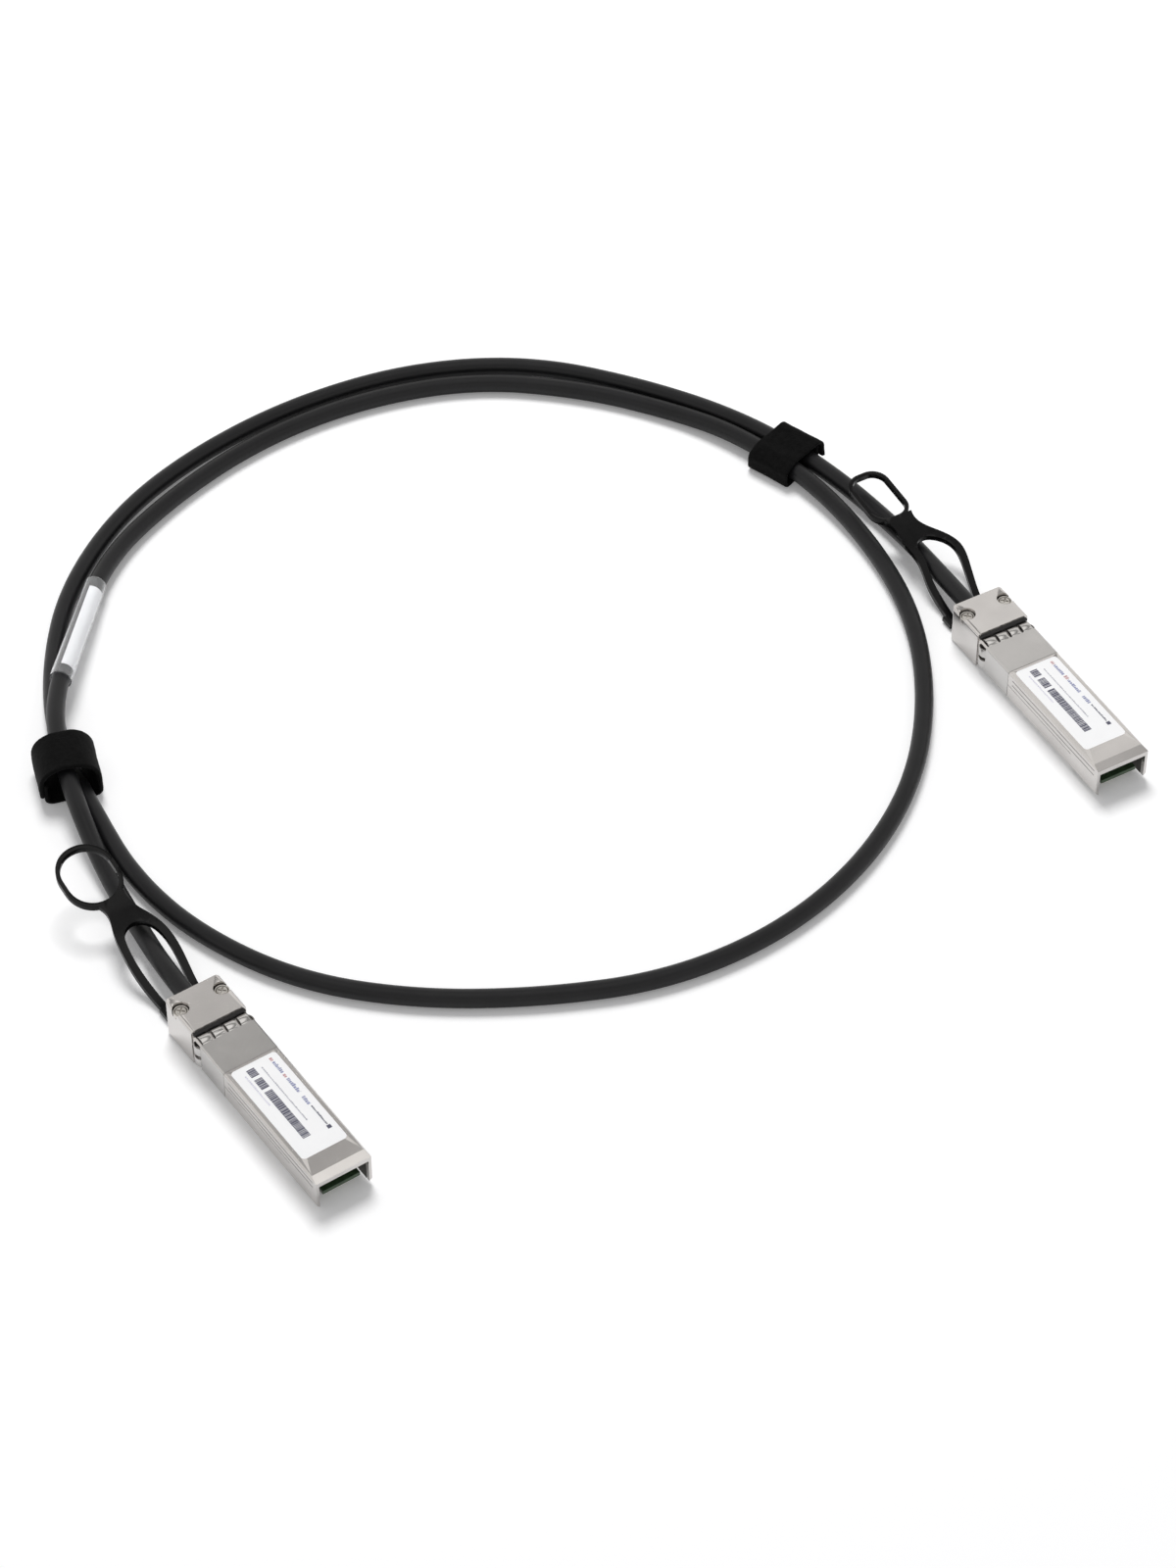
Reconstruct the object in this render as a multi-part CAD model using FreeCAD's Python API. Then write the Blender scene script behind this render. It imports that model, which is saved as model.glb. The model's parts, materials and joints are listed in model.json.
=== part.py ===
import FreeCAD, Part
import math
import os
from FreeCAD import Vector

# Passive SFP+ direct attach copper cable: one twinax cable with a die-cast pluggable
# end at each side, coiled in a single loop of about 200 mm and held by two wrap ties.
# Millimetres, +Z up, the floor is z = 0.  The origin is under the middle of the two
# plugs.  Each plug is built in its own frame: x runs back from the mating end along
# the plug, y is its width, z is height above the floor.

# ---- cable ----
cable_diameter = 4.3
cable_radius = cable_diameter / 2

# ---- plug body, after the small form-factor pluggable envelope ----
body_width = 13.55
body_height = 8.5
boss_height = 0.45            # latch boss under the body, which is what meets the floor
body_bottom = boss_height
body_top = body_bottom + body_height
nose_opening = 10.4           # length of the nose that is open underneath
nose_skirt = 0.7
nose_slope = 2.2              # the roof falls away over this length at the mating end
nose_drop = 0.5
nose_lip = 1.0                # the rim that hangs under the roof's front edge
nose_lip_depth = 1.15
side_wall = 0.9
roof = 1.0
floor_front = 0.9
floor_rear = 1.5
front_wall = 1.0
bottom_chamfer = 1.1
top_chamfer = 0.4
seam_groove = 0.15            # shadow line along the side where the shells meet
fit = 0.1                     # running clearance round a sliding piece
seat = 0.05                   # clearance round a piece that is clamped

# ---- head, the raised rear block ----
head_start = 49.0
head_length = 11.0
plug_length = head_start + head_length
head_width = 13.7
head_rise = 1.4
head_top = body_top + head_rise
head_roof = 1.0
head_wall = 1.0
head_side = 0.5
head_corner = 1.0
exit_rise = 4.75              # the cable's middle above the body's underside
exit_height = body_bottom + exit_rise
seam = exit_height            # the shells part at the middle of the cable

# ---- paddle card ----
card_start = 3.2
card_length = 27.8
card_end = card_start + card_length
card_width = 9.2
card_thickness = 1.0
card_bottom = body_bottom + 2.25
card_top = card_bottom + card_thickness
card_post = 2.0
card_lead = 0.3               # chamfer at the card's mating edge
contact_pitch = 0.8
contact_width = 0.54
contact_length = 2.4
contact_stagger = 0.5
contact_setback = 0.5
contact_foil = 0.05
contacts_per_side = 10
memory_chip = (4.4, 3.0, 1.0)
memory_chip_at = 21.0
capacitor = (1.0, 0.5, 0.5)
capacitor_at = 15.5
capacitor_pitch = 2.2

# ---- twinax pairs, from the jacket's end to the card ----
pair_width = 1.9
pair_height = 1.05
pair_spread = 0.6             # height of each pair off the cable's middle
wire_diameter = 0.8
wire_pitch = 1.0
wire_strip = 2.0
pair_gap = 0.4                # from the card's end to the foil
pair_end = card_end + pair_gap
pair_bend_start = 34.5
pair_bend_end = 41.5

# ---- crimp ferrule ----
ferrule_start = 53.3
ferrule_end = 58.8
ferrule_wall = 0.45
flange_wall = 0.9
flange_length = 0.9
screw_at = 56.0
rib_length = 2.8

# ---- clamp screws ----
screw_inset = 1.7             # from the head's side to each screw
screw_offset = head_width / 2 - screw_inset
screw_radius = 0.5
screw_head_radius = 1.35
screw_head_height = 1.0
screw_recess_radius = 1.9
screw_recess_depth = 1.75
screw_length = 6.0
screw_socket = 0.5
drive_width = 0.35            # slot of the cross drive, and its share of the head
drive_share = 0.7
rib_margin = 0.1

# ---- latch boss and slider ----
slider_sheet = 0.4
slider_travel = 2.5
boss_end = 45.0               # the locking face, from the mating end
boss_length = 2.4
boss_width = 2.6
cavity_width = 6.3
cavity_start = 41.0
cavity_depth = 0.9
ramp_start = 42.0
ramp_length = 2.0
ramp_reach = 0.35             # how far the ramps stand below the body
crossbar_start = 53.4
crossbar_length = 2.8
arm_gap = 1.55                # between the cable's side and each arm
arm_width = 1.4
arm_offset = cable_radius + arm_gap + arm_width / 2
arm_end = 65.0
slot_clear = 0.1
slider_low = body_bottom + cavity_depth - fit - slider_sheet
slider_high = slider_low + slider_sheet

# ---- return spring ----
spring_start = 47.05
spring_radius = 0.7
spring_wire = 0.25
spring_length = 5.1
spring_turns = 5
spring_facets = 10            # straight bits in each turn
spring_housing = 0.75
spring_tab = 0.4

# ---- label in its recess ----
label_start = 6.8
label_length = 28.8
label_width = 11.2
label_corner = 1.0
label_recess = 0.15
label_film = 0.1

# ---- ground collar with its spring fingers ----
collar_sheet = 0.25
collar_groove = 0.2
collar_gap = 0.7              # behind the label
collar_start = label_start + label_length + collar_gap
collar_end = 45.6
finger_end = 48.3
finger_width = 2.3
finger_pitch = 3.2
finger_rise = 0.55
top_fingers = 4
side_finger_rises = (2.9, 6.3)      # middles of the side fingers above the underside

# ---- moulded pull tab ----
tab_start = 62.0
tab_thickness = 1.3
tab_outside = [(62.0, 5.0), (68.0, 5.4), (74.0, 6.1), (80.0, 6.0), (85.4, 4.7),
               (89.0, 3.4), (93.6, 3.8)]     # along the plug, and half the width there
tab_inside = [(61.0, 3.35), (69.0, 3.75), (75.0, 4.35), (80.5, 4.05), (84.0, 2.5), (85.1, 0.0)]
tab_foot = [(61.0, 1.05), (63.5, 1.05), (66.0, 1.15), (72.0, 2.9), (79.0, 5.8), (84.5, 7.2),
            (89.0, 7.8)]      # along the plug, and the height of the tab's middle there
tab_ring = {                  # middle along and across the plug, length, width, corner
    "a": (99.9, 1.6, 15.5, 13.6, 6.6),
    "b": (100.9, 0.8, 16.2, 10.4, 4.2),
}
tab_lean = {                  # how the soft tab has been bent to the side
    "a": [(61.0, 0.0), (80.0, -0.3), (89.0, 0.0), (100.0, 1.6)],
    "b": [(61.0, 0.0), (70.0, -1.3), (80.0, -2.8), (89.0, -0.3), (100.9, 0.8)],
}
tab_rise = {"a": [(93.0, 8.6), (110.0, 13.2)], "b": [(94.0, 8.3), (112.0, 10.0)]}
tab_clear_height = 30.0       # above every part of the tab, to cut its plan from
ring_band = 1.0
cuff_wall = 0.35              # the cuff moulded round each arm of the slider

# ---- wrap ties and marker ----
tie_length = 11.8
tie_a_band = 1.1
tie_a_width = 13.6
tie_a_arch = 5.8              # radius of its two upper corners
tie_a_corner = 2.0
tie_a_turn = -5.0             # it sits askew on its strands
tie_a_shift = (0.4, -1.2)
tie_b_band = 1.0
tie_b_slack = (1.7, 0.4)      # room beside the strands, on the inner and the outer side
tie_b_turn = 4.0
tie_b_shift = 1.7             # along the strands
tie_b_crease = 4.9            # height of the fold on the inner side, where it slopes down
tie_b_slope = 3.5
tie_b_corner = 1.5
tie_clear = 0.15
marker_wall = 0.25
marker_film = 0.12
marker_clear = 0.1
marker_length = 35.6
marker_label_length = 29.0
marker_shift = 0.8            # along the straight run, from its middle
marker_overlap = 0.2          # how far past the middle the film goes, in cable radii

# ---- where the plugs lie: the middle of the rear face, and the way the cable leaves ----
exit_a = (-89.6, -55.5)
exit_b = (85.2, 65.6)
heading_a = 124.8
heading_b = 120.0
exit_run = 10.0

# ---- the cable's route between the two exits ----
floor_height = cable_radius
tie_a_low = tie_a_band + tie_clear + cable_radius
tie_a_high = tie_a_low + cable_diameter + tie_clear
tie_b_low = tie_b_band + tie_clear + cable_radius
marker_height = cable_radius + marker_film + marker_clear + marker_wall + tie_clear
exit_points = 2               # the points at each plug, ahead of and after the route
tie_a_upper = (-120.3, 5.9, tie_a_high - 0.3)       # each strand's run through a tie
tie_a_lower = (-115.0, 2.5, tie_a_low)             # goes on from one of these points
tie_b_inner = (31.0, 130.0, tie_b_low)
tie_b_outer = (33.2, 134.5, tie_b_low)
marker_start = (-126.9, 31.0, tie_a_high + 0.2)     # the marker's straight run
route = [
    (-103.8, -29.5, floor_height),
    (-112.0, -13.7, floor_height + 0.6),
    tie_a_upper,
    marker_start,
    (-118.8, 85.3, marker_height),
    (-104.6, 108.1, floor_height),
    (-84.3, 129.1, floor_height),
    (-59.8, 143.7, floor_height),
    (-32.3, 150.8, floor_height),
    (-5.3, 147.1, floor_height),
    (15.7, 139.3, floor_height),
    tie_b_inner,
    (48.5, 113.6, tie_b_low),
    (62.7, 91.5, floor_height),
    (71.4, 66.5, floor_height),
    (72.9, 39.5, floor_height),
    (68.4, 12.7, floor_height),
    (56.2, -12.0, floor_height),
    (37.2, -32.5, floor_height),
    (12.7, -46.3, floor_height),
    (-14.3, -51.3, floor_height),
    (-41.8, -51.9, floor_height),
    (-67.8, -46.5, floor_height),
    (-90.6, -32.4, floor_height),
    (-105.6, -15.5, floor_height),
    tie_a_lower,
    (-125.8, 26.5, tie_a_low),
    (-128.8, 52.0, floor_height),
    (-126.5, 77.1, floor_height),
    (-116.1, 102.9, floor_height),
    (-98.8, 124.0, floor_height),
    (-75.8, 142.0, floor_height),
    (-48.3, 154.3, floor_height),
    (-19.3, 157.0, floor_height),
    (8.7, 148.3, floor_height),
    tie_b_outer,
    (52.7, 116.8, tie_b_low),
    (69.2, 96.5, floor_height),
]

# ---------------------------------------------------------------- helpers
def block(x0, x1, y0, y1, z0, z1):
    return Part.makeBox(x1 - x0, y1 - y0, z1 - z0, Vector(x0, y0, z0))


def centred(x0, x1, width, z0, z1):
    return block(x0, x1, -width / 2, width / 2, z0, z1)


def rod(radius, x0, x1, y, z):
    return Part.makeCylinder(radius, x1 - x0, Vector(x0, y, z), Vector(1, 0, 0))


def post(radius, x, y, z0, z1):
    return Part.makeCylinder(radius, z1 - z0, Vector(x, y, z0), Vector(0, 0, 1))


def prism(points, direction):
    """Closed polygon of 3-D points, pushed along a vector."""
    corners = [Vector(*p) for p in points]
    face = Part.Face(Part.makePolygon(corners + corners[:1]))
    return face.extrude(Vector(*direction))


def join(shapes):
    first = shapes[0]
    if len(shapes) == 1:
        return first
    return first.fuse(shapes[1:]).removeSplitter()


def cut(shape, tools):
    return shape.cut(tools).removeSplitter()


def mirrored(shape):
    """The shape and its copy on the other side of the plug."""
    return [shape, shape.mirror(Vector(0, 0, 0), Vector(0, 1, 0))]


def section(x0, x1, width, z0, z1, low_chamfer, high_chamfer):
    """A bar along the plug with its long edges chamfered."""
    half = width / 2
    low = low_chamfer
    high = high_chamfer
    outline = [(x0, -half + low, z0), (x0, half - low, z0)]
    if low:
        outline.append((x0, half, z0 + low))
    outline.append((x0, half, z1 - high))
    if high:
        outline += [(x0, half - high, z1), (x0, -half + high, z1)]
    outline.append((x0, -half, z1 - high))
    if low:
        outline.append((x0, -half, z0 + low))
    return prism(outline, (x1 - x0, 0, 0))


def rounded(shape, radius, chosen):
    """Fillet the edges that the test picks out."""
    edges = [e for e in shape.Edges if chosen(e)]
    return shape.makeFillet(radius, edges)


def upright(edge):
    a, b = edge.Vertexes[0].Point, edge.Vertexes[-1].Point
    return abs(a.x - b.x) < 1e-6 and abs(a.y - b.y) < 1e-6


# ---------------------------------------------------------------- die-cast shells
def body_outline(x0, x1, grow):
    """The body's outside, moved outward by grow."""
    return section(x0, x1, body_width + 2 * grow, body_bottom - grow, body_top + grow,
                   bottom_chamfer, top_chamfer)


def head_outline():
    """The head block with its four long corners and its rear corners rounded."""
    half = head_width / 2
    shape = centred(head_start, plug_length, head_width, body_bottom, head_top)

    def soft(edge):
        a, b = edge.Vertexes[0].Point, edge.Vertexes[-1].Point
        along_top = abs(a.z - head_top) < 1e-6 and abs(b.z - head_top) < 1e-6
        side = along_top and abs(abs(a.y) - half) < 1e-6 and abs(a.y - b.y) < 1e-6
        rear = upright(edge) and abs(a.x - plug_length) < 1e-6
        return side or rear
    return rounded(shape, head_corner, soft)


def body_hollow():
    """Room inside the body, from behind the nose to the head."""
    x0 = nose_opening + front_wall
    inner = body_width - 2 * side_wall
    front = centred(x0, cavity_start - front_wall, inner, body_bottom + floor_front,
                    body_top - roof)
    rear = centred(cavity_start - front_wall, head_start + front_wall, inner,
                   body_bottom + floor_rear, body_top - roof)
    return [front, rear]


def head_hollow():
    inner = head_width - 2 * head_side
    return centred(head_start + front_wall, plug_length - head_wall, inner,
                   body_bottom + floor_rear, head_top - head_roof)


def clamp_ribs():
    """The block inside the head that grips the ferrule and takes the screws."""
    x0 = screw_at - rib_length / 2
    width = 2 * (screw_offset + screw_radius + rib_margin)
    return centred(x0, x0 + rib_length, width, body_bottom + floor_rear - seat,
                   head_top - head_roof + seat)


def cable_passage():
    neck = cable_radius + ferrule_wall + seat
    grip = rod(neck, screw_at - rib_length, screw_at + rib_length, 0, exit_height)
    mouth = rod(cable_radius + seat, plug_length - 2 * head_wall, plug_length + head_wall,
                0, exit_height)
    return [grip.common(clamp_ribs()), mouth]


def arm_slots():
    """Slots in the rear wall that the slider's arms leave through."""
    half = arm_width / 2 + slot_clear
    slot = block(plug_length - 2 * head_wall, plug_length + head_wall, arm_offset - half,
                 arm_offset + half, slider_low - slot_clear, slider_high + slot_clear)
    return mirrored(slot)


def latch_cavity():
    """The open channel under the body in which the slider runs."""
    roof_height = body_bottom + cavity_depth
    narrow = centred(cavity_start, crossbar_start, cavity_width, 0, roof_height)
    half = arm_offset + arm_width / 2 + slot_clear
    wide = centred(crossbar_start - fit, plug_length - head_wall, 2 * half, 0, roof_height)
    return [narrow, wide]


def latch_boss():
    """The fixed catch: square locking face behind, sloped lead-in ahead."""
    x0 = boss_end - boss_length
    top = body_bottom + cavity_depth
    profile = [(x0, -boss_width / 2, top), (x0, -boss_width / 2, body_bottom),
               (x0 + boss_height, -boss_width / 2, 0), (boss_end, -boss_width / 2, 0),
               (boss_end, -boss_width / 2, top)]
    return prism(profile, (0, boss_width, 0))


def spring_pocket():
    top = body_bottom + cavity_depth + 2 * spring_radius + spring_wire + 2 * fit
    return centred(spring_start - spring_tab - 2 * fit, spring_start + spring_length + fit,
                   2 * spring_radius + spring_wire + 2 * fit, 0, top)


def spring_block():
    """The raised housing that roofs the spring's pocket inside the shell."""
    pocket = spring_pocket().BoundBox
    grow = spring_housing
    return block(pocket.XMin - grow, pocket.XMax + grow, pocket.YMin - grow,
                 pocket.YMax + grow, body_bottom + cavity_depth, pocket.ZMax + grow)


def screw_bores():
    tools = []
    for side in (-1, 1):
        y = side * screw_offset
        tools.append(post(screw_recess_radius, screw_at, y, head_top - screw_recess_depth,
                          head_top + 1))
        tools.append(post(screw_radius, screw_at, y,
                          head_top - screw_recess_depth - screw_length, head_top))
    return tools


def collar_ring(outer, inner, x0, x1):
    ring = body_outline(x0, x1, outer).cut(body_outline(x0 - 1, x1 + 1, inner))
    gap = centred(x0 - 1, x1 + 1, cavity_width + 2 * side_wall, -1,
                  body_bottom + bottom_chamfer)
    return ring.cut(gap)


def collar_seat():
    return collar_ring(1.0, -collar_groove, collar_start - fit, head_start)


def upper_half():
    return block(-1, plug_length + 1, -head_width, head_width, seam, head_top + 1)


def card_posts(z0, z1):
    half = card_width / 2
    x1 = card_end - card_post
    arm = block(x1 - card_post, x1, half - side_wall, half + side_wall / 2, z0, z1)
    return mirrored(arm)


def make_shell_bottom():
    outside = join([body_outline(nose_opening, head_start, 0), head_outline()])
    shell = outside.cut(body_hollow() + [head_hollow()])
    added = [clamp_ribs(), spring_block()]
    added += card_posts(body_bottom + floor_front, card_bottom)
    shell = join([shell] + [a.common(outside) for a in added])
    sill = centred(nose_opening - 1, nose_opening + front_wall + 1,
                   body_width - 2 * side_wall, card_bottom, seam + 1)
    tools = [upper_half(), sill, collar_seat(), spring_pocket()]
    tools += latch_cavity() + cable_passage() + arm_slots() + screw_bores() + seam_line()
    shell = shell.cut(tools)
    return join([shell, latch_boss()])


def nose_fall():
    """What the roof's slope at the mating end takes off."""
    steep = nose_drop / nose_slope
    reach = 1.0
    return prism([(-reach, -body_width, body_top - nose_drop - steep * reach),
                  (-reach, -body_width, body_top + reach),
                  (nose_slope + reach, -body_width, body_top + reach),
                  (nose_slope + reach, -body_width, body_top + steep * reach)],
                 (0, 2 * body_width, 0))


def seam_line():
    """The shadow line along each side, cut from the lower shell's top edge."""
    depth = seam_groove
    strip = block(nose_opening + depth, collar_start - depth, body_width / 2 - depth,
                  body_width, seam - depth, seam + depth)
    return mirrored(strip)


def make_shell_top():
    outside = join([body_outline(0, head_start, 0), head_outline()])
    nose = section(-1, nose_opening, body_width - 2 * nose_skirt, -1, body_top - roof, 0, 0)
    shell = outside.cut(body_hollow() + [head_hollow(), nose])
    rim = centred(0, nose_lip, body_width - nose_skirt, body_top - nose_drop - nose_lip_depth,
                  body_top - roof / 2)
    added = [clamp_ribs(), rim] + card_posts(card_top, body_top - roof)
    shell = join([shell] + [a.common(outside) for a in added])
    below = block(nose_opening, plug_length + 1, -head_width, head_width, -1, seam)
    ledge = centred(nose_opening - 1, nose_opening + front_wall,
                    body_width - 2 * side_wall, -1, card_top)
    tools = [below, ledge, collar_seat(), label_plate(label_recess, 1.0), nose_fall()]
    tools += cable_passage() + screw_bores()
    return cut(shell, tools)


# ---------------------------------------------------------------- fitted pieces
def label_plate(depth, height):
    shape = centred(label_start, label_start + label_length, label_width,
                    body_top - depth, body_top - depth + height)
    return rounded(shape, label_corner, upright)


def make_label():
    return label_plate(label_recess, label_film)


def finger(width):
    """One bowed finger along x, its foot on z = 0, centred on y = 0."""
    middle = (collar_end + finger_end) / 2
    sheet = collar_sheet
    outer = Part.Arc(Vector(collar_end, -width / 2, 0), Vector(middle, -width / 2, finger_rise),
                     Vector(finger_end, -width / 2, 0)).toShape()
    inner = Part.Arc(Vector(collar_end, -width / 2, -sheet),
                     Vector(middle, -width / 2, finger_rise - sheet),
                     Vector(finger_end, -width / 2, -sheet)).toShape()
    foot = Part.makeLine(Vector(collar_end, -width / 2, -sheet), Vector(collar_end, -width / 2, 0))
    tip = Part.makeLine(Vector(finger_end, -width / 2, 0), Vector(finger_end, -width / 2, -sheet))
    face = Part.Face(Part.Wire(Part.__sortEdges__([outer, tip, inner, foot])))
    return face.extrude(Vector(0, width, 0))


def make_collar():
    proud = collar_sheet - collar_groove
    band = collar_ring(proud, -collar_groove, collar_start, collar_end)
    pieces = [band]
    for i in range(top_fingers):
        y = (i - (top_fingers - 1) / 2) * finger_pitch
        leaf = finger(finger_width)
        leaf.translate(Vector(0, y, body_top + proud))
        pieces.append(leaf)
    for rise in side_finger_rises:
        leaf = finger(finger_width)
        leaf.rotate(Vector(0, 0, 0), Vector(1, 0, 0), -90)
        leaf.translate(Vector(0, body_width / 2 + proud, body_bottom + rise))
        pieces += mirrored(leaf)
    return join(pieces)


def make_paddle_card():
    card = centred(card_start, card_end, card_width, card_bottom, card_top)
    nibs = []
    for face, inward in ((card_top, -card_lead), (card_bottom, card_lead)):
        nibs.append(prism([(card_start, -card_width, face),
                           (card_start, -card_width, face + inward),
                           (card_start + card_lead, -card_width, face)],
                          (0, 2 * card_width, 0)))
    return cut(card, nibs)


def make_contacts():
    pads = []
    for i in range(contacts_per_side):
        y = (i - (contacts_per_side - 1) / 2) * contact_pitch
        x0 = card_start + contact_setback + contact_stagger * (i % 2)
        x1 = card_start + contact_setback + contact_stagger + contact_length
        for z in (card_top, card_bottom - contact_foil):
            pads.append(block(x0, x1, y - contact_width / 2, y + contact_width / 2, z,
                              z + contact_foil))
    return Part.makeCompound(pads)


def make_board_parts():
    length, width, height = memory_chip
    chip = centred(memory_chip_at, memory_chip_at + length, width, card_top, card_top + height)
    parts = [chip]
    length, width, height = capacitor
    for i in range(4):
        y = (i - 1.5) * capacitor_pitch
        parts.append(block(capacitor_at, capacitor_at + length, y - width / 2, y + width / 2,
                           card_top, card_top + height))
    return Part.makeCompound(parts)


def s_curve(z_card, z_cable):
    """Line, arc, arc, line: a foil edge from the card to the jacket, in the plug's middle."""
    run = pair_bend_end - pair_bend_start
    rise = z_cable - z_card
    radius = (run ** 2 + rise ** 2) / (4 * abs(rise))
    half = math.asin(run / 2 / radius) / 2
    inset = radius * math.sin(half)
    sag = math.copysign(radius * (1 - math.cos(half)), rise)
    start = Vector(pair_end, 0, z_card)
    bend = Vector(pair_bend_start, 0, z_card)
    middle = Vector((pair_bend_start + pair_bend_end) / 2, 0, (z_card + z_cable) / 2)
    level = Vector(pair_bend_end, 0, z_cable)
    finish = Vector(ferrule_start, 0, z_cable)
    low = Vector(pair_bend_start + inset, 0, z_card + sag)
    high = Vector(pair_bend_end - inset, 0, z_cable - sag)
    return [Part.makeLine(start, bend), Part.Arc(bend, low, middle).toShape(),
            Part.Arc(middle, high, level).toShape(), Part.makeLine(level, finish)]


def foil_pair(z_card, z_cable):
    """A flat foil-wrapped pair, as a strip pushed out across the plug."""
    half = pair_height / 2
    upper = s_curve(z_card + half, z_cable + half)
    lower = s_curve(z_card - half, z_cable - half)
    ends = [Part.makeLine(Vector(x, 0, z - half), Vector(x, 0, z + half))
            for x, z in ((pair_end, z_card), (ferrule_start, z_cable))]
    face = Part.Face(Part.Wire(Part.__sortEdges__(upper + lower + ends)))
    strip = face.extrude(Vector(0, pair_width, 0))
    strip.translate(Vector(0, -pair_width / 2, 0))
    return strip


def make_signal_pairs():
    solids = []
    for side, face in ((1, card_top), (-1, card_bottom)):
        z_card = face + side * (pair_height / 2 + seat)
        foil = foil_pair(z_card, exit_height + side * pair_spread)
        z_wire = face + side * (wire_diameter / 2 + seat)
        wires = [rod(wire_diameter / 2, pair_end - wire_strip, pair_end + seat,
                     k * wire_pitch / 2, z_wire) for k in (-1, 1)]
        solids.append(join([foil] + wires))
    return Part.makeCompound(solids)


def make_ferrule():
    """Crimped sleeve with a flange each side of the clamp."""
    neck = cable_radius + ferrule_wall
    flange = neck + flange_wall - ferrule_wall
    gap = rib_length / 2 + fit
    body = rod(neck, ferrule_start, ferrule_end, 0, exit_height)
    ahead = rod(flange, screw_at - gap - flange_length, screw_at - gap, 0, exit_height)
    behind = rod(flange, screw_at + gap, screw_at + gap + flange_length, 0, exit_height)
    bore = rod(cable_radius, ferrule_start - 1, ferrule_end + 1, 0, exit_height)
    return cut(join([body, ahead, behind]), [bore])


def make_screws():
    solids = []
    top = head_top - screw_recess_depth + screw_head_height
    for side in (-1, 1):
        y = side * screw_offset
        crown = post(screw_head_radius, screw_at, y, top - screw_head_height, top)
        crown = crown.makeChamfer(screw_head_height / 4, [
            e for e in crown.Edges if e.BoundBox.ZMin > top - 1e-6])
        shank = post(screw_radius, screw_at, y, top - screw_head_height - screw_length
                     + screw_socket, top - screw_socket)
        reach = screw_head_radius * drive_share
        drive = [centred(-reach, reach, drive_width, 0, 1) for _ in range(2)]
        for n, slot in enumerate(drive):
            slot.rotate(Vector(0, 0, 0), Vector(0, 0, 1), 45 + 90 * n)
            slot.translate(Vector(screw_at, y, top - screw_socket))
        solids.append(cut(join([crown, shank]), drive))
    return Part.makeCompound(solids)


# ---------------------------------------------------------------- release slider
def make_slider():
    """Stamped fork: two ramps, a plate with a lug for the spring, and two side arms."""
    z0, z1 = slider_low, slider_high
    width = cavity_width - 2 * fit
    inner = boss_width / 2 + fit
    plate = centred(ramp_start, crossbar_start + crossbar_length, width, z0, z1)
    slot = centred(ramp_start - 1, boss_end + slider_sheet, 2 * inner, 0, z1 + 1)
    bar = centred(crossbar_start, crossbar_start + crossbar_length,
                  2 * arm_offset + arm_width, z0, z1)
    lug = centred(spring_start - spring_tab, spring_start,
                  2 * spring_radius + spring_wire, z0, z1 + 2 * spring_radius + spring_wire)
    arm = block(crossbar_start, arm_end, arm_offset - arm_width / 2,
                arm_offset + arm_width / 2, z0, z1)
    low = body_bottom - ramp_reach
    middle = (z0 + z1) / 2
    foot = ramp_start + ramp_length
    ramp = prism([(ramp_start, inner, middle), (ramp_start, inner, low),
                  (foot - (z0 - low), inner, low), (foot, inner, z0), (foot, inner, middle)],
                 (0, width / 2 - inner, 0))
    return cut(join([plate, bar, lug] + mirrored(arm) + mirrored(ramp)), [slot])


def make_spring():
    """Compression spring of square wire, lying along the plug in its pocket."""
    z = body_bottom + cavity_depth + spring_radius + spring_wire / 2 + fit / 2
    steps = spring_turns * spring_facets
    rise = (spring_length - spring_wire) / steps
    points = []
    for i in range(steps + 1):
        angle = 2 * math.pi * i / spring_facets
        points.append(Vector(spring_start + spring_wire / 2 + i * rise,
                             spring_radius * math.cos(angle),
                             z + spring_radius * math.sin(angle)))
    half = spring_wire / 2
    x, y = points[0].x, points[0].y
    corners = [Vector(x + dx * half, y + dy * half, z)
               for dx, dy in ((-1, -1), (1, -1), (1, 1), (-1, 1), (-1, -1))]
    coil = Part.makePolygon(points).makePipeShell([Part.makePolygon(corners)], True, True, 1)
    return coil


# ---------------------------------------------------------------- moulded pull tab
def lean(end, x):
    """How far the tab is bent to the side at one place along the plug."""
    stops = tab_lean[end]
    for (x0, y0), (x1, y1) in zip(stops, stops[1:]):
        if x <= x1:
            return y0 + (y1 - y0) * (x - x0) / (x1 - x0)
    return stops[-1][1]


def smooth(points):
    curve = Part.BSplineCurve()
    curve.interpolate([Vector(*p) for p in points])
    return curve.toShape()


def tab_plan(end):
    """The tab seen from above: two legs that meet in a web, and the ring's outside."""
    rims = [smooth([(x, lean(end, x) + sign * half, 0) for x, half in tab_outside])
            for sign in (1, -1)]
    foot = Part.makeLine(rims[0].Vertexes[0].Point, rims[1].Vertexes[0].Point)
    across = Part.makeLine(rims[0].Vertexes[-1].Point, rims[1].Vertexes[-1].Point)
    web = Part.Face(Part.Wire(Part.__sortEdges__(rims + [foot, across])))
    left = [(x, lean(end, x) + half, 0) for x, half in tab_inside]
    right = [(x, lean(end, x) - half, 0) for x, half in reversed(tab_inside[:-1])]
    crotch = smooth(left + right)
    mouth = Part.makeLine(crotch.Vertexes[0].Point, crotch.Vertexes[-1].Point)
    gap = Part.Face(Part.Wire([crotch, mouth]))
    up = Vector(0, 0, tab_clear_height)
    legs = web.extrude(up).cut(gap.extrude(up))
    return join([legs, ring_plate(end, 0)]).cut(ring_plate(end, ring_band))


def ring_plate(end, inset):
    """The ring's outline, or its hole's, as a plate with round corners."""
    x, y, length, width, corner_radius = tab_ring[end]
    plate = block(x - length / 2 + inset, x + length / 2 - inset, y - width / 2 + inset,
                  y + width / 2 - inset, 0, tab_clear_height)
    return rounded(plate, corner_radius - inset, upright)


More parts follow.
